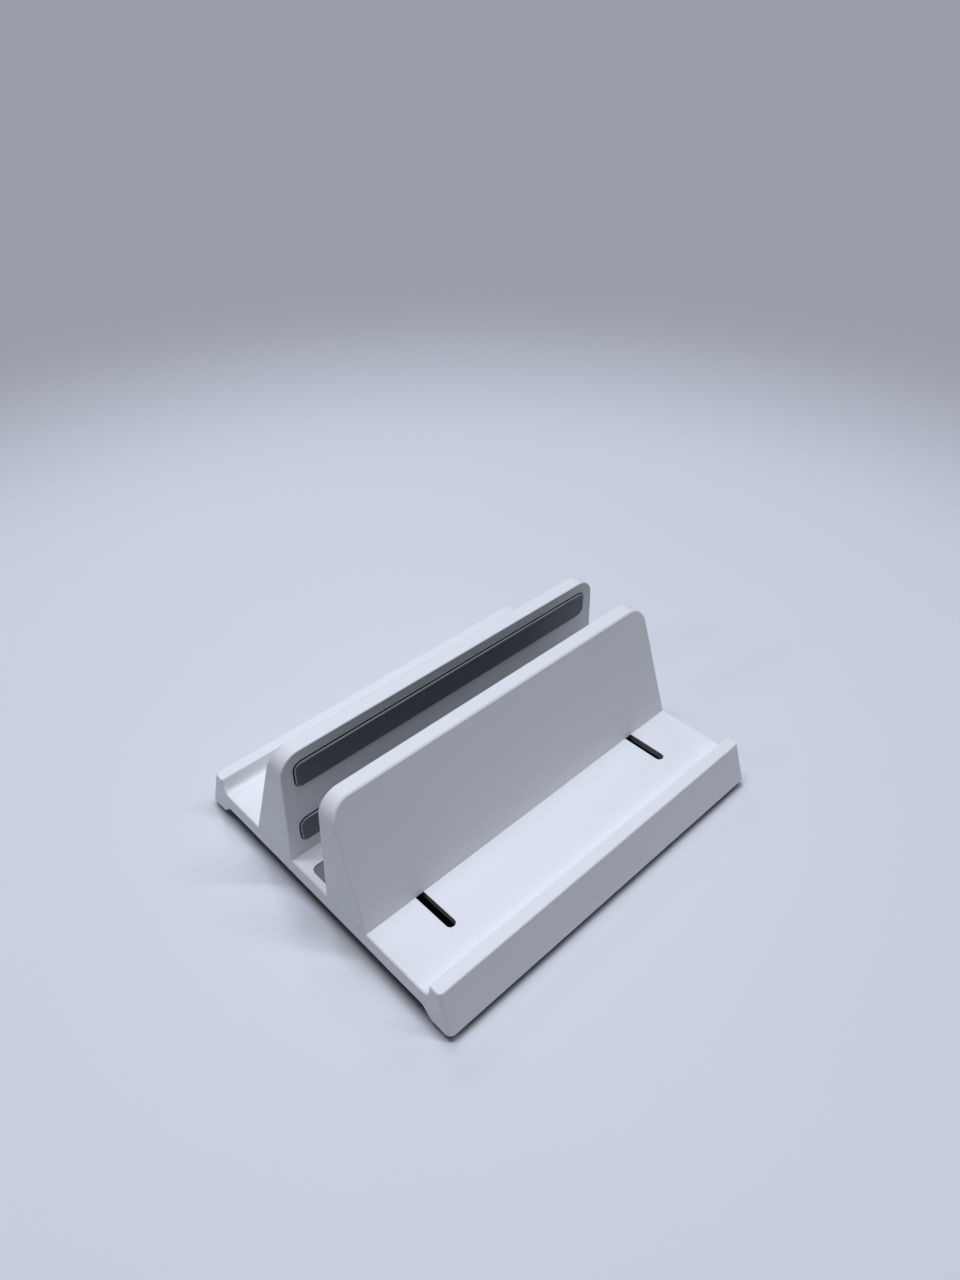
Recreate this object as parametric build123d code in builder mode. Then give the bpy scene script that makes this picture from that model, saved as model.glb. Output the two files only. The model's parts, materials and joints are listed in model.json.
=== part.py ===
# Vertical laptop stand: a moulded base with a lip at the front and the rear, one upright
# that is screwed down and one that slides in two slots to suit the laptop's thickness.
# X runs from the rear to the front, Y along the uprights, Z up from the table.
import os
from math import radians, tan

from build123d import *

# Base
base_depth = 157.7  # front to rear, across the bottom of the lips
base_length = 180.0  # along the uprights, at the bottom
end_draft = 2.5  # degrees that every end face leans inwards
edge_height = 7.5  # edge of the deck as seen from the end
deck_wall = 3.0  # the deck itself, above the hollow underside
moulded_wall = 2.4  # all other walls of the mouldings
corner_radius = 2.2  # upright corners of the base, at the ends of the lips
rim_radius = 0.8  # top edges of the lips and of the base's ends
lip_height = 7.2  # lip above the deck
lip_top_width = 5.6
lip_slope = 18.1  # degrees from vertical, outer face
lip_inner_draft = 2.0  # degrees from vertical, inner face
lip_fillet = 4.0  # lip to deck
foot_drop = 4.4  # foot beam under each lip, below the edge of the deck
foot_land = 10.6  # flat bottom of a foot beam
foot_chamfer = 0.6  # outer bottom edge
ramp_run = 4.5  # level length of the ramp from foot beam to deck
ramp_round = 2.0
beam_pockets = 4  # hollows in each foot beam, open below

# Ribs under the deck
rib_width = 1.6
rib_set_back = 0.5  # ribs end this far above the edge of the deck
track_half_width = 8.0  # from a slot's centre line to the ribs beside it
long_rib_pitch = 27.0
long_rib_count = 4

# Uprights
upright_height = 53.9  # above the deck
upright_foot = 24.5  # thickness at the deck
upright_top = 6.9  # thickness at the top
upright_corner = 9.3  # rounded top corners, seen from the broad side
inner_edge_chamfer = 0.3  # round the inner face of an upright
outer_edge_chamfer = 0.5  # round the sloping face
rear_face_x = -16.1  # inner face of the rear upright
laptop_gap = 23.4  # between the inner faces, as set
narrowest_gap = 14.4  # front upright all the way in
lip_stop_gap = 1.4  # front upright all the way out, to the lip's fillet
upright_rib_count = 5

# Screws, washers and threaded inserts
screw_diameter = 4.0
screw_length = 12.0
screw_pitch = 126.4  # along Y
screw_inset = 12.2  # from an upright's inner face
slot_clearance = 0.1  # each side of a screw
slot_end_play = 0.35  # left between screw and slot end at full travel
head_diameter = 7.6
head_height = 2.2
head_chamfer = 0.7
socket_across_flats = 2.5
socket_depth = 1.3
washer_diameter = 12.0
washer_thickness = 1.0
insert_diameter = 5.6
insert_length = 8.0
insert_fit = 0.03  # each side, insert in its boss
thread_fit = 0.05  # each side, screw in its insert
insert_hole_spare = 2.0  # hole beyond the insert
boss_wall = 2.0
boss_cap = 2.0  # boss above its hole

# Silicone pads and rubber feet
pad_height = 12.1
pad_corner = 3.6
pad_thickness = 1.8
pad_recess = 1.0
pad_gap = 0.5  # all round, pad in its recess
pad_edge = 0.55  # chamfer
pad_end_margin = 5.6  # pad to the end face beside it
upper_pad_margin = 5.6  # pad to the top of the upright
lower_pad_margin = 6.4  # pad to the deck
floor_pad_width = 14.4
floor_pad_corner = 2.5
floor_pad_end_margin = 3.4
floor_pad_thickness = 1.0
floor_pad_drop = 0.2  # below the deck, so that the upright slides over it
floor_pad_edge = 0.2
seat_gap = 0.3  # all round, floor pad and feet in their recesses
foot_proud = 3.0  # rubber feet below the moulding
foot_recess = 1.0
foot_length = 24.0
foot_width = 6.4
foot_corner = 2.0
foot_end_margin = 6.0

# Heights
base_bottom = foot_proud
edge_bottom = base_bottom + foot_drop
deck_top = edge_bottom + edge_height
deck_under = deck_top - deck_wall
rib_bottom = edge_bottom + rib_set_back
lip_top = deck_top + lip_height
stand_top = deck_top + upright_height
washer_under = deck_under - washer_thickness


def half_length(z):
    return base_length / 2 - (z - base_bottom) * tan(radians(end_draft))


def lip_outer_x(z):
    return base_depth / 2 - (z - base_bottom) * tan(radians(lip_slope))


# Places across the base
half_depth = base_depth / 2
lip_outer_top = lip_outer_x(lip_top)
lip_inner_top = lip_outer_top - lip_top_width
lip_inner_foot = lip_inner_top - lip_height * tan(radians(lip_inner_draft))
foot_inner = half_depth - foot_land
ramp_end = foot_inner - ramp_run
hollow_half_depth = ramp_end - moulded_wall
front_face_x = rear_face_x + laptop_gap
front_screw_x = front_face_x + screw_inset
rear_screw_x = rear_face_x - screw_inset
foot_x = half_depth - foot_land / 2
screw_rows = (-screw_pitch / 2, screw_pitch / 2)

# Travel of the front upright, and the slots that allow it
travel_in = laptop_gap - narrowest_gap
travel_out = lip_inner_foot - lip_fillet - lip_stop_gap - front_face_x - upright_foot
slot_width = screw_diameter + 2 * slot_clearance
slot_length = travel_in + travel_out + 2 * slot_end_play + slot_width
slot_x = front_screw_x + (travel_out - travel_in) / 2

# Places along the base
hollow_half_length = half_length(deck_under) - moulded_wall
floor_pad_length = 2 * (half_length(deck_top) - floor_pad_end_margin)
foot_y = half_length(base_bottom) - foot_end_margin - foot_length / 2
pocket_half_length = foot_y - foot_length / 2 - moulded_wall
pocket_pitch = (2 * pocket_half_length + moulded_wall) / beam_pockets
track_rib_rows = [row + side * track_half_width for row in screw_rows for side in (-1, 1)]
long_rib_length = screw_pitch - 2 * track_half_width

with BuildPart() as base:
    # Outer form: one section run along Y, its ends leaning in
    with BuildSketch(Plane.XZ):
        with BuildLine():
            FilletPolyline(
                (0, deck_top),
                (lip_inner_foot, deck_top),
                (lip_inner_top, lip_top),
                (lip_outer_top, lip_top),
                (lip_outer_x(base_bottom + foot_chamfer), base_bottom + foot_chamfer),
                (half_depth - foot_chamfer, base_bottom),
                (foot_inner, base_bottom),
                (ramp_end, edge_bottom),
                (0, edge_bottom),
                radius=[lip_fillet, 0, 0, 0, 0, ramp_round, ramp_round],
            )
            mirror(about=Plane.YZ)
        make_face()
    extrude(amount=base_length / 2, both=True)
    with BuildSketch(Plane.YZ):
        with BuildLine():
            Polyline(
                (half_length(base_bottom), base_bottom),
                (half_length(lip_top), lip_top),
                (-half_length(lip_top), lip_top),
                (-half_length(base_bottom), base_bottom),
                close=True,
            )
        make_face()
    extrude(amount=base_depth, both=True, mode=Mode.INTERSECT)
    by_depth = base.faces().sort_by(Axis.X)
    lip_outsides = by_depth[:2] + by_depth[-2:]
    fillet(lip_outsides.edges().filter_by(Axis.Y, reverse=True), corner_radius)
    lip_tops = base.faces().group_by(Axis.Z)[-1]
    by_length = base.faces().filter_by(GeomType.PLANE).sort_by(Axis.Y)
    end_edges = (by_length[:1] + by_length[-1:]).edges().filter_by_position(Axis.Z, deck_top, lip_top)
    lip_ends = end_edges.filter_by(lambda edge: abs(edge.center().X) < lip_inner_top)
    fillet(lip_tops.edges() + lip_ends, rim_radius)

    # Hollow underside with its ribs
    with BuildSketch(Plane.XY.offset(deck_under)):
        Rectangle(2 * hollow_half_depth, 2 * hollow_half_length)
    extrude(amount=base_bottom - deck_under, mode=Mode.SUBTRACT)
    with BuildSketch(Plane.XY.offset(deck_under)):
        with Locations(*[(0, row) for row in track_rib_rows]):
            Rectangle(2 * hollow_half_depth, rib_width)
        with GridLocations(long_rib_pitch, 1, long_rib_count, 1):
            Rectangle(rib_width, long_rib_length)
    extrude(amount=rib_bottom - deck_under)

    # Hollows in the foot beams, which reach up into the lips
    for pocket in range(beam_pockets):
        pocket_y = (pocket - (beam_pockets - 1) / 2) * pocket_pitch
        with BuildSketch(Plane.XZ.offset(-pocket_y)):
            with BuildLine():
                Polyline(
                    (hollow_half_depth + moulded_wall, 0),
                    (hollow_half_depth + moulded_wall, deck_under),
                    (lip_inner_foot + moulded_wall, deck_under),
                    (lip_inner_top + moulded_wall, lip_top - moulded_wall),
                    (lip_outer_x(lip_top - moulded_wall) - moulded_wall, lip_top - moulded_wall),
                    (lip_outer_x(0) - moulded_wall, 0),
                    close=True,
                )
            make_face()
            mirror(about=Plane.YZ)
        extrude(amount=(pocket_pitch - moulded_wall) / 2, both=True, mode=Mode.SUBTRACT)

    # Slots for the front upright, holes for the rear one, recesses for pad and feet
    with BuildSketch(Plane.XY.offset(deck_top)):
        with Locations(*[(slot_x, row) for row in screw_rows]):
            SlotOverall(slot_length, slot_width)
    extrude(amount=-deck_wall, mode=Mode.SUBTRACT)
    with Locations(*[(rear_screw_x, row, deck_top) for row in screw_rows]):
        Hole(radius=slot_width / 2, depth=deck_wall)
    with BuildSketch(Plane.XY.offset(deck_top)):
        RectangleRounded(
            floor_pad_width + 2 * seat_gap,
            floor_pad_length + 2 * seat_gap,
            floor_pad_corner + seat_gap,
        )
    extrude(amount=-(floor_pad_thickness + floor_pad_drop), mode=Mode.SUBTRACT)
    with BuildSketch(Plane.XY.offset(base_bottom)):
        with GridLocations(2 * foot_x, 2 * foot_y, 2, 2):
            RectangleRounded(foot_width + 2 * seat_gap, foot_length + 2 * seat_gap, foot_corner + seat_gap)
    extrude(amount=foot_recess, mode=Mode.SUBTRACT)
base.part.label = "base"

pad_heights = {
    "upper": stand_top - upper_pad_margin - pad_height / 2,
    "lower": deck_top + lower_pad_margin + pad_height / 2,
}


def pad_length(z):
    return 2 * (half_length(z + pad_height / 2) - pad_end_margin)


def inner_plane(face_x, side):
    # On an upright's inner face: x along the face, y up, z into the upright.
    return Plane((face_x, 0, 0), x_dir=(0, side, 0), z_dir=(side, 0, 0))


def make_upright(label, face_x, side):
    broad = inner_plane(face_x, side)
    across = Plane((face_x, 0, 0), x_dir=(side, 0, 0), z_dir=(0, -side, 0))
    below = Plane((face_x, 0, deck_top), x_dir=(side, 0, 0), z_dir=(0, 0, -1))
    outwards = Axis((face_x, 0, 0), (side, 0, 0))
    screw_places = [(screw_inset, row) for row in screw_rows]
    with BuildPart() as shell:
        # Broad side with its rounded corners, then the wedge seen from the end
        with BuildSketch(broad):
            with BuildLine():
                FilletPolyline(
                    (half_length(deck_top), deck_top),
                    (half_length(stand_top), stand_top),
                    (-half_length(stand_top), stand_top),
                    (-half_length(deck_top), deck_top),
                    radius=[0, upright_corner, upright_corner, 0],
                    close=True,
                )
            make_face()
        extrude(amount=upright_foot)
        with BuildSketch(across):
            with BuildLine():
                Polyline(
                    (0, deck_top),
                    (upright_foot, deck_top),
                    (upright_top, stand_top),
                    (0, stand_top),
                    close=True,
                )
            make_face()
        extrude(amount=base_length / 2, both=True, mode=Mode.INTERSECT)
        offset(amount=-moulded_wall, openings=shell.faces().sort_by(Axis.Z)[0])
        inner_skin = shell.faces().filter_by(Plane.YZ).sort_by(outwards)[:1]
        outer_skin = shell.faces().sort_by(outwards)[-1:]
        for skin, edge in ((inner_skin, inner_edge_chamfer), (outer_skin, outer_edge_chamfer)):
            chamfer(skin.edges().filter_by_position(Axis.Z, deck_top + edge, stand_top), edge)

        # Ribs across the hollow, two of them through the screw bosses
        rib_rows = [(rib / (upright_rib_count - 1) - 0.5) * screw_pitch for rib in range(upright_rib_count)]
        for row in rib_rows:
            with BuildSketch(across.offset(row)):
                with BuildLine():
                    Polyline(
                        (moulded_wall / 2, deck_top),
                        (upright_foot - moulded_wall / 2, deck_top),
                        (upright_top - moulded_wall / 2, stand_top - moulded_wall / 2),
                        (moulded_wall / 2, stand_top - moulded_wall / 2),
                        close=True,
                    )
                make_face()
            extrude(amount=rib_width / 2, both=True)
        with BuildSketch(below):
            with Locations(*screw_places):
                Circle(insert_diameter / 2 + insert_fit + boss_wall)
        extrude(amount=-(insert_length + insert_hole_spare + boss_cap))
        with Locations(below):
            with Locations(*screw_places):
                Hole(radius=insert_diameter / 2 + insert_fit, depth=insert_length + insert_hole_spare)

        # Recesses for the two pads
        for z in pad_heights.values():
            with BuildSketch(broad):
                with Locations((0, z)):
                    RectangleRounded(
                        pad_length(z) + 2 * pad_gap,
                        pad_height + 2 * pad_gap,
                        pad_corner + pad_gap,
                    )
            extrude(amount=pad_recess, mode=Mode.SUBTRACT)
    shell.part.label = label
    return shell.part


def make_pad(label, face_x, side, z):
    with BuildPart() as pad:
        with BuildSketch(inner_plane(face_x, side).offset(pad_recess)):
            with Locations((0, z)):
                RectangleRounded(pad_length(z), pad_height, pad_corner)
        extrude(amount=-pad_thickness)
        front = pad.faces().sort_by(Axis((face_x, 0, 0), (side, 0, 0)))[0]
        chamfer(front.edges(), pad_edge)
    pad.part.label = label
    return pad.part


def make_screws(label, x):
    with BuildPart() as screws:
        with BuildSketch(Plane.XY.offset(washer_under)):
            with Locations(*[(x, row) for row in screw_rows]):
                Circle(head_diameter / 2)
        extrude(amount=-head_height)
        chamfer(screws.faces().group_by(Axis.Z)[0].edges(), head_chamfer)
        with BuildSketch(Plane.XY.offset(washer_under - head_height)):
            with Locations(*[(x, row) for row in screw_rows]):
                RegularPolygon(socket_across_flats / 2, 6, major_radius=False)
        extrude(amount=socket_depth, mode=Mode.SUBTRACT)
        with BuildSketch(Plane.XY.offset(washer_under)):
            with Locations(*[(x, row) for row in screw_rows]):
                Circle(screw_diameter / 2)
        extrude(amount=screw_length)
    screws.part.label = label
    return screws.part


def make_washers(label, x):
    with BuildPart() as washers:
        with BuildSketch(Plane.XY.offset(washer_under)):
            with Locations(*[(x, row) for row in screw_rows]):
                Circle(washer_diameter / 2)
                Circle(slot_width / 2, mode=Mode.SUBTRACT)
        extrude(amount=washer_thickness)
    washers.part.label = label
    return washers.part


def make_inserts(label, x):
    with BuildPart() as inserts:
        with BuildSketch(Plane.XY.offset(deck_top)):
            with Locations(*[(x, row) for row in screw_rows]):
                Circle(insert_diameter / 2)
                Circle(screw_diameter / 2 + thread_fit, mode=Mode.SUBTRACT)
        extrude(amount=insert_length)
    inserts.part.label = label
    return inserts.part


def make_foot(label, x, y):
    with BuildPart() as foot:
        with BuildSketch(Plane.XY):
            with Locations((x, y)):
                RectangleRounded(foot_width, foot_length, foot_corner)
        extrude(amount=foot_proud + foot_recess)
    foot.part.label = label
    return foot.part


with BuildPart() as floor_pad:
    with BuildSketch(Plane.XY.offset(deck_top - floor_pad_drop)):
        RectangleRounded(floor_pad_width, floor_pad_length, floor_pad_corner)
    extrude(amount=-floor_pad_thickness)
    chamfer(floor_pad.faces().sort_by(Axis.Z)[-1].edges(), floor_pad_edge)
floor_pad.part.label = "floor_pad"

pieces = [base.part, floor_pad.part]
for name, face_x, side in (("rear", rear_face_x, -1), ("front", front_face_x, 1)):
    pieces.append(make_upright(f"{name}_upright", face_x, side))
    for place, z in pad_heights.items():
        pieces.append(make_pad(f"{name}_{place}_pad", face_x, side, z))
    pieces.append(make_inserts(f"{name}_inserts", face_x + side * screw_inset))
for use, x in (("fixing", rear_screw_x), ("clamp", front_screw_x)):
    pieces.append(make_screws(f"{use}_screws", x))
    pieces.append(make_washers(f"{use}_washers", x))
for front_or_rear, x in (("rear", -foot_x), ("front", foot_x)):
    for left_or_right, y in (("left", -foot_y), ("right", foot_y)):
        pieces.append(make_foot(f"foot_{front_or_rear}_{left_or_right}", x, y))

os.makedirs("parts", exist_ok=True)
for piece in pieces:
    export_step(piece, f"parts/{piece.label}.step")
print(f"front upright travels {travel_in:.2f} mm in and {travel_out:.2f} mm out")
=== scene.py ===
import json
import math

import bmesh
import bpy
from mathutils import Matrix, Vector


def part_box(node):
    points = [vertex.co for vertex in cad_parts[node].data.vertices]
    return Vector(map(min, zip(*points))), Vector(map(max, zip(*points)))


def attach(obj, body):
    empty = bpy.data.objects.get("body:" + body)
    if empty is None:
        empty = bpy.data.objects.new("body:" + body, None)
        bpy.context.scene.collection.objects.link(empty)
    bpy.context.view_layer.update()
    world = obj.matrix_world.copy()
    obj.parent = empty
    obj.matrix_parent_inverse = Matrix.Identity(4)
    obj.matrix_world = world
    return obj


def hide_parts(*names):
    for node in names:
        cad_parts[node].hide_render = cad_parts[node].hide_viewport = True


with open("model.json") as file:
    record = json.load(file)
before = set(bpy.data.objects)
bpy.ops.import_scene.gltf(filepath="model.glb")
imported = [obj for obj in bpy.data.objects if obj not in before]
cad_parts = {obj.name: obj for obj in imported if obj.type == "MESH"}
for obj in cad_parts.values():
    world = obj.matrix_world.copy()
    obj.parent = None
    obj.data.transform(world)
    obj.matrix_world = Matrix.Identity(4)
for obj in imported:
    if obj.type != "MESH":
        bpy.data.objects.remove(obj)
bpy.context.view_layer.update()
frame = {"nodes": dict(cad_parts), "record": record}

nodes = frame["nodes"]
record = frame["record"]
print("loaded", len(nodes), "pieces from the frame")


class Wire:  # a socket that takes part in sums
    def __init__(self, finish, socket):
        self.finish = finish
        self.socket = socket

    def work(self, operation, first, second):
        return self.finish.node("ShaderNodeMath", {"operation": operation}, {0: first, 1: second})

    def __add__(self, other):
        return self.work("ADD", self, other)

    def __radd__(self, other):
        return self.work("ADD", other, self)

    def __sub__(self, other):
        return self.work("SUBTRACT", self, other)

    def __rsub__(self, other):
        return self.work("SUBTRACT", other, self)

    def __mul__(self, other):
        return self.work("MULTIPLY", self, other)

    def __rmul__(self, other):
        return self.work("MULTIPLY", other, self)


class Finish:  # one material, its nodes and its shader
    def __init__(self, name, constants):
        self.material = bpy.data.materials.new(name)
        self.material.use_nodes = True
        self.tree = self.material.node_tree
        self.shader = self.tree.nodes["Principled BSDF"]
        self.place = self.node("ShaderNodeTexCoord", output="Object")  # metres, on the piece
        for socket, value in constants.items():
            self.feed(socket, value)

    def link(self, socket, value):
        if isinstance(value, Wire):
            self.tree.links.new(value.socket, socket)
        else:
            socket.default_value = value

    def node(self, kind, settings=None, sockets=None, output=0):
        made = self.tree.nodes.new(kind)
        for name, value in (settings or {}).items():
            setattr(made, name, value)
        for name, value in (sockets or {}).items():
            self.link(made.inputs[name], value)
        return Wire(self, made.outputs[output])

    def feed(self, socket, value):
        self.link(self.shader.inputs[socket], value)

    def noise(self, grain, detail=2.0, roughness=0.5):  # grain: size of the spots in metres
        sockets = {"Vector": self.place, "Scale": 1 / grain, "Detail": detail, "Roughness": roughness}
        return self.node("ShaderNodeTexNoise", {"noise_dimensions": "3D"}, sockets)

    def between(self, share, first, second):  # two colours, mixed by a share
        first, second = (c if isinstance(c, Wire) else (*c, 1) for c in (first, second))
        sockets = {0: share, 6: first, 7: second}
        return self.node("ShaderNodeMix", {"data_type": "RGBA"}, sockets, output=2)

    def vector(self, operation, *values, output="Vector"):
        sockets = dict(enumerate(values))
        return self.node("ShaderNodeVectorMath", {"operation": operation}, sockets, output)

    def along(self, axis, spot=None):  # one of X, Y and Z
        return self.node("ShaderNodeSeparateXYZ", None, {0: spot or self.place}, output=axis)

    def ramp(self, value, low, high):  # 0 at low, 1 at high
        sockets = {"Value": value, "From Min": low, "From Max": high}
        return self.node("ShaderNodeMapRange", {"interpolation_type": "SMOOTHSTEP"}, sockets)

    def within(self, low, high, blur):  # 1 inside a box, 0 outside it
        low, high = Vector(low), Vector(high)
        reach = (high - low) / 2
        away = self.vector("ABSOLUTE", self.vector("SUBTRACT", self.place, (low + high) / 2))
        inside = [self.ramp(reach[axis] - self.along(axis, away), 0.0, blur) for axis in range(3)]
        return inside[0] * inside[1] * inside[2]

    def uneven(self, middle, spread, noise):  # noise swings about a half
        return middle + spread * (noise - 0.5)

    def bumps(self, height, depth, strength):
        sockets = {"Height": height, "Distance": depth, "Strength": strength}
        self.feed("Normal", self.node("ShaderNodeBump", None, sockets))


def bodyOf(node):
    bodies = record["behaviour"]["bodies"]
    return next(body for body, held in bodies.items() if node in held)


def rowPlaces(node):  # the two fasteners of a node, and their radius, from its box
    low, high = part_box(node)
    radius = (high[0] - low[0]) / 2
    return [(low[0] + radius, low[1] + radius), (low[0] + radius, high[1] - radius)], radius


plastic = {
    "white": (0.832, 0.840, 0.850),
    "shade": (0.802, 0.814, 0.830),  # the cooler tone in its faint clouds
    "clouds": 0.045,
    "grain": 0.00028,  # spark-eroded mould texture
    "grainDepth": 0.000012,
    "grainStrength": 0.35,
    "refraction": 1.49,
    "roughness": 0.46,
    "roughnessSpread": 0.10,
    "specks": [(0.01111, -0.05918, 0.0688), (-0.06669, -0.08533, 0.01766)],  # where dirt sticks
    "speckSize": 0.0004,
    "speckTone": (0.50, 0.51, 0.53),
    "seam": (0.020, 0.020, 0.022),  # painted shade in the gap round a pad
    "seamWidth": 0.0006,
    "seamBlur": 0.00005,
    "slot": (0.27, 0.275, 0.28),  # painted shade on the walls of the slots, which look dark
    "slotReach": 0.0031,  # past the middle of a screw
    "slotBlur": 0.0004,
}

padSeats = {  # face of the upright that a pad is let into, and the way from it into the upright
    "rear_upper_pad": (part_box("rear_upright")[1][0], -1),
    "rear_lower_pad": (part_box("rear_upright")[1][0], -1),
    "front_upper_pad": (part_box("front_upright")[0][0], 1),
    "front_lower_pad": (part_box("front_upright")[0][0], 1),
}


def padGapShade(finish, pad):  # 1 in the recess of a pad, where shade is painted
    face, side = padSeats[pad]
    low, high = (Vector(corner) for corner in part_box(pad))
    gap = Vector.Fill(3, plastic["seamWidth"])
    sunk = finish.ramp((finish.along("X") - face) * side, 0.0, plastic["seamBlur"])
    return sunk * finish.within(low - gap, high + gap, plastic["seamBlur"])


def slotWallShade(finish, place):  # 1 in the slot that this screw slides in, where shade is painted on the walls
    least, most = record["behaviour"]["joints"][0]["range_m"]
    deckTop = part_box("front_upright")[0][2]
    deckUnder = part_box("clamp_washers")[1][2]
    reach = plastic["slotReach"]
    low = (place[0] + least - reach, place[1] - reach, deckUnder)
    high = (place[0] + most + reach, place[1] + reach, deckTop)
    return finish.within(low, high, plastic["slotBlur"])


def makePlastic():
    finish = Finish("white_plastic", {"IOR": plastic["refraction"]})
    clouds = finish.noise(plastic["clouds"], detail=4.0)
    grain = finish.noise(plastic["grain"], detail=3.0, roughness=0.6)
    tone = finish.between(clouds, plastic["white"], plastic["shade"])
    for spot in plastic["specks"]:
        away = finish.vector("DISTANCE", finish.place, spot, output="Value")
        tone = finish.between(finish.ramp(away, 0.0, plastic["speckSize"]), plastic["speckTone"], tone)
    # painted shade in the recess round each pad
    for pad in padSeats:
        tone = finish.between(padGapShade(finish, pad), tone, plastic["seam"])
    # painted shade on the walls of the slots
    for place in rowPlaces("clamp_screws")[0]:
        tone = finish.between(slotWallShade(finish, place), tone, plastic["slot"])
    finish.feed("Base Color", tone)
    dull = finish.uneven(plastic["roughness"], plastic["roughnessSpread"], clouds)
    finish.feed("Roughness", finish.uneven(dull, plastic["roughnessSpread"], grain))
    finish.bumps(grain, plastic["grainDepth"], plastic["grainStrength"])
    return finish.material


silicone = {
    "slate": (0.115, 0.128, 0.152),
    "dusty": (0.148, 0.162, 0.188),  # where fine dust dulls it
    "trodden": (0.226, 0.240, 0.260),  # the strip that laptops stand on, the same silicone painted lighter for the light that falls on it
    "rim": (0.400, 0.410, 0.435),  # edges rubbed pale
    "rimStart": 0.00004,  # painted highlight along the front edges of a pad
    "rimFull": 0.00016,
    "black": (0.006, 0.006, 0.007),  # painted shade on its sides, beside the gap and in it
    "blackStart": -0.00034,  # from the face of the upright
    "blackFull": -0.00018,
    "dust": 0.006,
    "dustSpread": 0.16,
    "grain": 0.00020,
    "grainSpread": 0.08,
    "grainDepth": 0.000010,
    "grainStrength": 0.4,
    "refraction": 1.45,
    "roughness": 0.50,
}


def makeSilicone(name, tone, pad=None):
    finish = Finish(name, {"IOR": silicone["refraction"]})
    dust = finish.noise(silicone["dust"], detail=5.0, roughness=0.65)
    grain = finish.noise(silicone["grain"])
    tone = finish.between(dust, tone, silicone["dusty"])
    if pad:
        face, side = padSeats[pad]
        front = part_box(pad)[0 if side > 0 else 1][0]
        depth = finish.along("X")
        # painted highlight along the front edges of the pad
        rimHighlight = finish.ramp((depth - front) * side, silicone["rimStart"], silicone["rimFull"])
        # painted shade on the sides of the pad down in the gap
        sunk = finish.ramp((depth - face) * side, silicone["blackStart"], silicone["blackFull"])
        tone = finish.between(sunk, finish.between(rimHighlight, tone, silicone["rim"]), silicone["black"])
    finish.feed("Base Color", tone)
    dull = finish.uneven(silicone["roughness"], silicone["dustSpread"], dust)
    finish.feed("Roughness", finish.uneven(dull, silicone["grainSpread"], grain))
    finish.bumps(grain, silicone["grainDepth"], silicone["grainStrength"])
    return finish.material


footRubber = {
    "black": (0.022, 0.022, 0.024),
    "scuffed": (0.050, 0.050, 0.053),
    "scuffs": 0.0016,
    "scuffDepth": 0.00002,
    "scuffStrength": 0.5,
    "refraction": 1.5,
    "roughness": 0.66,
    "roughnessSpread": 0.20,
}


def makeFootRubber():
    finish = Finish("foot_rubber", {"IOR": footRubber["refraction"]})
    scuffs = finish.noise(footRubber["scuffs"], detail=6.0, roughness=0.7)
    finish.feed("Base Color", finish.between(scuffs, footRubber["black"], footRubber["scuffed"]))
    finish.feed("Roughness", finish.uneven(footRubber["roughness"], footRubber["roughnessSpread"], scuffs))
    finish.bumps(scuffs, footRubber["scuffDepth"], footRubber["scuffStrength"])
    return finish.material


zinc = {
    "bright": (0.66, 0.66, 0.65),
    "dull": (0.50, 0.51, 0.53),
    "crystals": 0.0008,
    "crystalDepth": 0.000006,
    "crystalStrength": 0.3,
    "roughness": 0.34,
    "roughnessSpread": 0.20,
}


def makeZinc():
    finish = Finish("zinc_plate", {"Metallic": 1.0})
    crystals = finish.noise(zinc["crystals"], detail=3.0)
    finish.feed("Base Color", finish.between(crystals, zinc["bright"], zinc["dull"]))
    finish.feed("Roughness", finish.uneven(zinc["roughness"], zinc["roughnessSpread"], crystals))
    finish.bumps(crystals, zinc["crystalDepth"], zinc["crystalStrength"])
    return finish.material


brass = {
    "bright": (0.80, 0.60, 0.28),
    "tarnish": (0.58, 0.41, 0.19),
    "spots": 0.0011,
    "spotDepth": 0.000008,
    "spotStrength": 0.3,
    "roughness": 0.36,
    "roughnessSpread": 0.25,
}


def makeBrass():
    finish = Finish("turned_brass", {"Metallic": 1.0})
    spots = finish.noise(brass["spots"], detail=4.0)
    finish.feed("Base Color", finish.between(spots, brass["bright"], brass["tarnish"]))
    finish.feed("Roughness", finish.uneven(brass["roughness"], brass["roughnessSpread"], spots))
    finish.bumps(spots, brass["spotDepth"], brass["spotStrength"])
    return finish.material


rearSilicone = makeSilicone("rear_silicone", silicone["slate"], "rear_upper_pad")
frontSilicone = makeSilicone("front_silicone", silicone["slate"], "front_upper_pad")
finishes = {  # by material slot, or by node where a piece has its own
    "white_plastic": makePlastic(),
    # the floor pad: the same silicone, painted lighter for the light on it
    "silicone": makeSilicone("floor_silicone", silicone["trodden"]),
    "rear_upper_pad": rearSilicone,
    "rear_lower_pad": rearSilicone,
    "front_upper_pad": frontSilicone,
    "front_lower_pad": frontSilicone,
    "foot_rubber": makeFootRubber(),
    "steel": makeZinc(),
    "brass": makeBrass(),
}
for subpart in record["subparts"]:
    piece = nodes[subpart["node"]]
    piece.data.materials.clear()
    slot = subpart["material_slot"]
    piece.data.materials.append(finishes.get(subpart["node"], finishes[slot]))
print("finishes on", len(nodes), "pieces")


softEdges = {  # moulded rubber has no sharp edge
    "slots": ("silicone", "foot_rubber"),
    "width": 0.00025,
    "segments": 2,
    "angle": 40,  # degrees between faces, from which an edge is rounded
}


def softenRubber():
    for subpart in record["subparts"]:
        if subpart["material_slot"] in softEdges["slots"]:
            edges = nodes[subpart["node"]].modifiers.new("softEdges", "BEVEL")
            edges.width = softEdges["width"]
            edges.segments = softEdges["segments"]
            edges.limit_method = "ANGLE"
            edges.angle_limit = math.radians(softEdges["angle"])
            edges.harden_normals = True


softenRubber()
print("rubber edges rounded")


lathe = {"sharpAngle": 32}  # degrees between faces, from which an edge stays sharp


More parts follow.
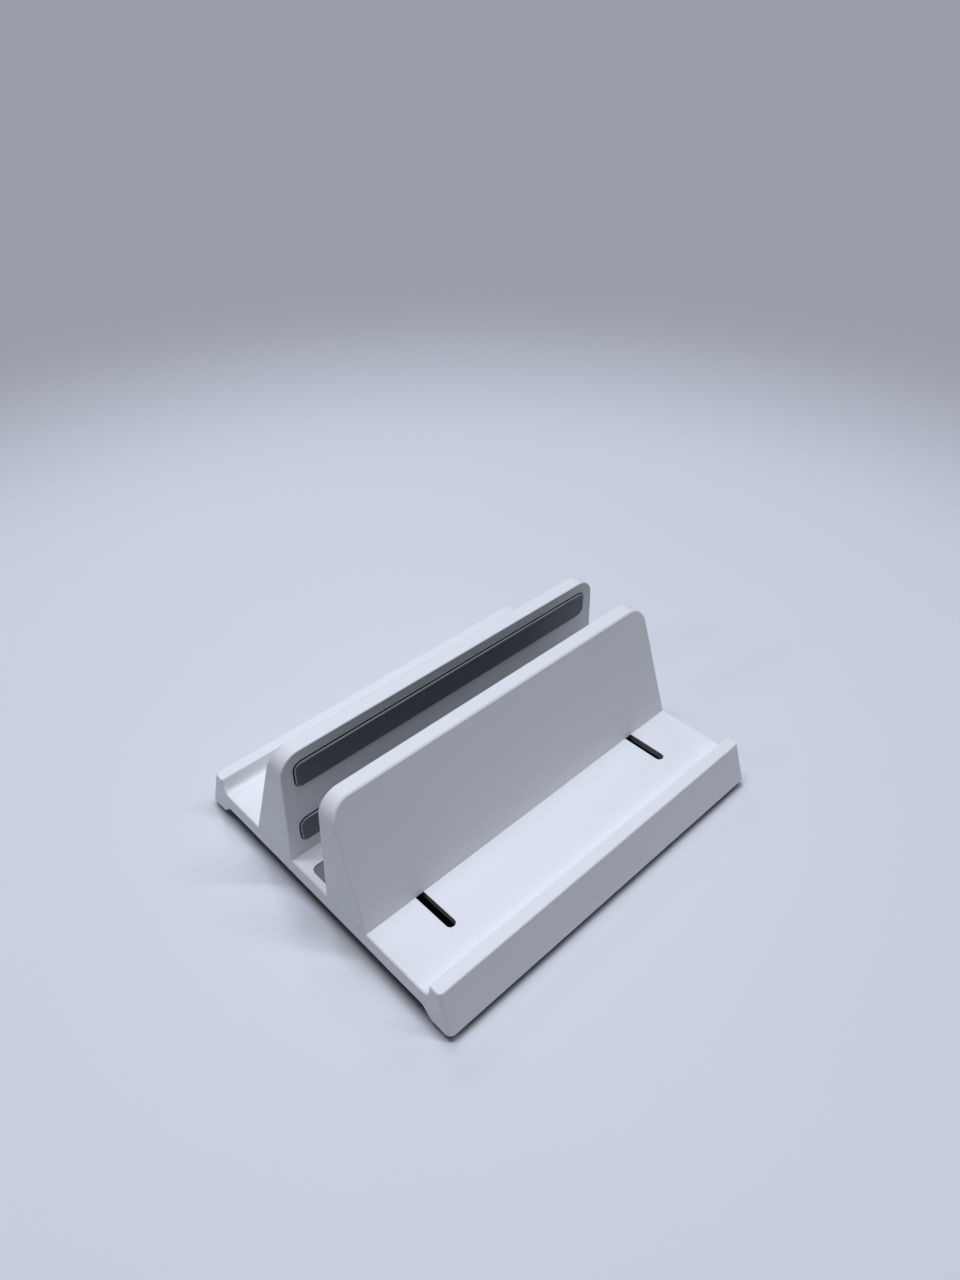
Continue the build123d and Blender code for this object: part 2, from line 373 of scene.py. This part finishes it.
def turned(name, node, slot, places, rings, sides, hollow=False):  # rings: height, radius at an angle
    mesh = bmesh.new()
    angles = [2 * math.pi * k / sides for k in range(sides)]
    for x, y in places:
        made = []
        for height, radius in rings:
            spots = [(x + radius(a) * math.cos(a), y + radius(a) * math.sin(a), height) for a in angles]
            made.append([mesh.verts.new(spot) for spot in spots])
        for lower, upper in zip(made, made[1:] + made[:1] if hollow else made[1:]):
            for k in range(sides):
                mesh.faces.new((lower[k - 1], lower[k], upper[k], upper[k - 1]))
        if not hollow:
            mesh.faces.new(made[0])
            mesh.faces.new(made[-1])
    bmesh.ops.recalc_face_normals(mesh, faces=mesh.faces)
    data = bpy.data.meshes.new(name)
    mesh.to_mesh(data)
    mesh.free()
    data.shade_smooth()
    data.set_sharp_from_angle(angle=math.radians(lathe["sharpAngle"]))
    data.materials.append(finishes[slot])
    piece = bpy.data.objects.new(name, data)
    bpy.context.scene.collection.objects.link(piece)
    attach(piece, bodyOf(node))
    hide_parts(node)


def steady(radius):  # the same radius all round
    return lambda angle: radius


def zigzag(turns):  # 1 at each whole turn, 0 halfway
    return abs(2 * (turns % 1) - 1)


def vThread(height, crest, look):  # a helix, cut at this height
    def radius(angle):
        return crest - look["threadDepth"] * zigzag(height / look["pitch"] - angle / (2 * math.pi))

    return radius


def threadHeights(start, end, look):
    steps = round(abs(end - start) / look["pitch"] * look["stepsPerPitch"])
    return [start + (end - start) * step / steps for step in range(steps + 1)]


screw = {
    "headHeight": 0.0022,
    "headEdge": 0.0007,  # radius of its rounded edge
    "edgeSteps": 4,
    "shank": 0.0020,  # radius
    "pitch": 0.0007,
    "threadDepth": 0.00038,
    "tip": 0.0006,  # chamfer at the end
    "socketFlats": 0.00125,  # half of the key's width
    "socketDepth": 0.0013,
    "socketChamfer": 0.00013,
    "socketMouth": 0.00156,  # radius
    "drillDepth": 0.00156,  # the drilled point behind the socket
    "drillRadius": 0.00025,
    "sides": 36,
    "stepsPerPitch": 6,
}


def makeScrews(name, node):
    places, head = rowPlaces(node)
    bottom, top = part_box(node)[0][2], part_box(node)[1][2]

    def socket(angle):  # six flats
        return screw["socketFlats"] / math.cos((angle + math.pi / 6) % (math.pi / 3) - math.pi / 6)

    rings = [
        (bottom + screw["drillDepth"], steady(screw["drillRadius"])),
        (bottom + screw["socketDepth"], socket),
        (bottom + screw["socketChamfer"], socket),
        (bottom, steady(screw["socketMouth"])),
    ]
    edge = screw["headEdge"]
    for step in range(screw["edgeSteps"] + 1):
        turn = math.pi / 2 * step / screw["edgeSteps"]
        rings.append((bottom + edge * (1 - math.cos(turn)), steady(head - edge * (1 - math.sin(turn)))))
    start = bottom + screw["headHeight"]
    rings.append((start, steady(head)))
    for height in threadHeights(start, top, screw):
        crest = screw["shank"] - max(0.0, height - top + screw["tip"])
        rings.append((height, vThread(height, crest, screw)))
    turned(name, node, "steel", places, rings, screw["sides"])


insert = {
    "lift": 0.00005,  # clear of the deck
    "bore": 0.00205,  # radius
    "pitch": 0.0007,
    "threadDepth": 0.0003,
    "teeth": 24,
    "toothDepth": 0.00018,
    "groove": 0.0005,  # depth of the neck between the knurled bands
    "bands": (  # from, to, as shares of the height, and which outline
        (0.00, 0.08, "plain"),
        (0.08, 0.44, "knurl"),
        (0.44, 0.58, "neck"),
        (0.58, 0.96, "knurl"),
        (0.96, 1.00, "plain"),
    ),
    "sides": 72,
    "stepsPerPitch": 6,
}


def makeInserts(name, node):
    places, rim = rowPlaces(node)
    bottom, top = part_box(node)[0][2] + insert["lift"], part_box(node)[1][2]

    def knurl(angle):
        return rim - insert["toothDepth"] * zigzag(angle * insert["teeth"] / (2 * math.pi))

    outlines = {
        "plain": steady(rim - insert["toothDepth"]),
        "knurl": knurl,
        "neck": steady(rim - insert["groove"]),
    }
    rings = []
    for low, high, outline in insert["bands"]:
        rings += [(bottom + (top - bottom) * share, outlines[outline]) for share in (low, high)]
    root = insert["bore"] + insert["threadDepth"]
    for height in threadHeights(top, bottom, insert):
        rings.append((height, vThread(height, root, insert)))
    turned(name, node, "brass", places, rings, insert["sides"], hollow=True)


for use in ("clamp", "fixing"):
    makeScrews(f"{use}_threaded_screws", f"{use}_screws")
for use in ("front", "rear"):
    makeInserts(f"{use}_knurled_inserts", f"{use}_inserts")
print("screws threaded, inserts knurled")


floorLook = {
    "size": 4.0,
    "fade": (0.32, 0.72),  # radii between which it fades into the backdrop
    "pale": (0.715, 0.735, 0.765),
    "paler": (0.735, 0.755, 0.785),
    "clouds": 0.25,
    "roughness": 0.7,
    "dark": (0.05, 0.05, 0.055),  # painted shadow under the base
    "darkReach": 0.003,  # past its edges
    "darkBlur": 0.008,
}


def makeFloor():
    half = floorLook["size"] / 2
    mesh = bpy.data.meshes.new("floor")
    corners = [(-half, -half, 0), (half, -half, 0), (half, half, 0), (-half, half, 0)]
    mesh.from_pydata(corners, [], [(0, 1, 2, 3)])
    finish = Finish("pale_floor", {"Roughness": floorLook["roughness"]})
    tone = finish.between(finish.noise(floorLook["clouds"]), floorLook["pale"], floorLook["paler"])
    low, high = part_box("base")
    reach = floorLook["darkReach"]
    near = (low[0] - reach, low[1] - reach, -half)
    far = (high[0] + reach, high[1] + reach, half)
    covered = finish.within(near, far, floorLook["darkBlur"])
    finish.feed("Base Color", finish.between(covered, tone, floorLook["dark"]))
    away = finish.vector("LENGTH", finish.place, output="Value")
    finish.feed("Alpha", 1 - finish.ramp(away, *floorLook["fade"]))
    mesh.materials.append(finish.material)
    floor = bpy.data.objects.new("floor", mesh)
    bpy.context.scene.collection.objects.link(floor)


makeFloor()
print("floor laid")


lens = {
    "place": (0.21018, -0.20029, 0.31426),
    "aim": (-0.57094, 0.5433, -0.61551),
    "right": (0.69093, 0.72292, -0.00279),
    "sensor": 36.0,  # mm, along the picture's long side
    "focal": 26.26,
    "nearest": 0.01,
}


def makeCamera():
    data = bpy.data.cameras.new("camera")
    data.sensor_width = lens["sensor"]
    data.lens = lens["focal"]
    data.clip_start = lens["nearest"]
    back = -Vector(lens["aim"]).normalized()
    right = Vector(lens["right"]).normalized()
    turn = Matrix((right, back.cross(right), back)).transposed().to_4x4()
    camera = bpy.data.objects.new("camera", data)
    camera.matrix_world = Matrix.Translation(lens["place"]) @ turn
    bpy.context.scene.collection.objects.link(camera)
    bpy.context.scene.camera = camera


studio = {
    "tint": (0.895, 0.945, 1.06),
    "distance": 1.7,
    "tubes": {  # place along and across the view, length and width per metre of distance, watts
        "longTube": (0.24, 0.00, 1.17, 0.04, 13.0),
        "shortTube": (0.00, 0.08, 0.70, 0.04, 7.2),
    },
    "softboxes": {  # azimuth and elevation in degrees, width per metre of distance, watts
        "leftHigh": (161, 70, 0.18, 3.7),
        "nearHigh": (225, 70, 0.18, 3.2),
        "nearLow": (257, 34, 0.18, 1.6),
        "leftLow": (161, 46, 0.18, 2.1),
    },
    "backdrop": (0.32, 0.342, 0.397),
}


def hangLamp(name, shape, size, turn, place, watts):
    data = bpy.data.lights.new(name, "AREA")
    data.shape = shape
    data.size = size[0] * studio["distance"]
    data.size_y = size[1] * studio["distance"]
    data.energy = watts
    data.color = studio["tint"]
    lamp = bpy.data.objects.new(name, data)
    lamp.matrix_world = Matrix.Translation(place * studio["distance"]) @ turn.to_4x4()
    bpy.context.scene.collection.objects.link(lamp)


def makeLights():
    up = Vector((0, 0, 1))
    along = (Vector(lens["right"]) * Vector((1, 1, 0))).normalized()
    across = up.cross(along)
    level = Matrix((along, across, up)).transposed()
    for name, (far, side, length, width, watts) in studio["tubes"].items():
        hangLamp(name, "RECTANGLE", (length, width), level, along * far + across * side + up, watts)
    for name, (azimuth, elevation, width, watts) in studio["softboxes"].items():
        turn, rise = math.radians(azimuth), math.radians(elevation)
        aim = Vector((math.cos(turn) * math.cos(rise), math.sin(turn) * math.cos(rise), math.sin(rise)))
        hangLamp(name, "DISK", (width, width), aim.to_track_quat("Z", "Y").to_matrix(), aim, watts)


def makeBackdrop():  # seen behind the floor, gives no light
    world = bpy.data.worlds.new("backdrop")
    world.use_nodes = True
    tree = world.node_tree
    shown = tree.nodes["Background"]
    shown.inputs["Color"].default_value = (*studio["backdrop"], 1)
    seen = tree.nodes.new("ShaderNodeLightPath")
    tree.links.new(seen.outputs["Is Camera Ray"], shown.inputs["Strength"])
    bpy.context.scene.world = world


makeCamera()
makeLights()
makeBackdrop()
bpy.context.scene.view_settings.view_transform = "Standard"
print("camera and lights set")
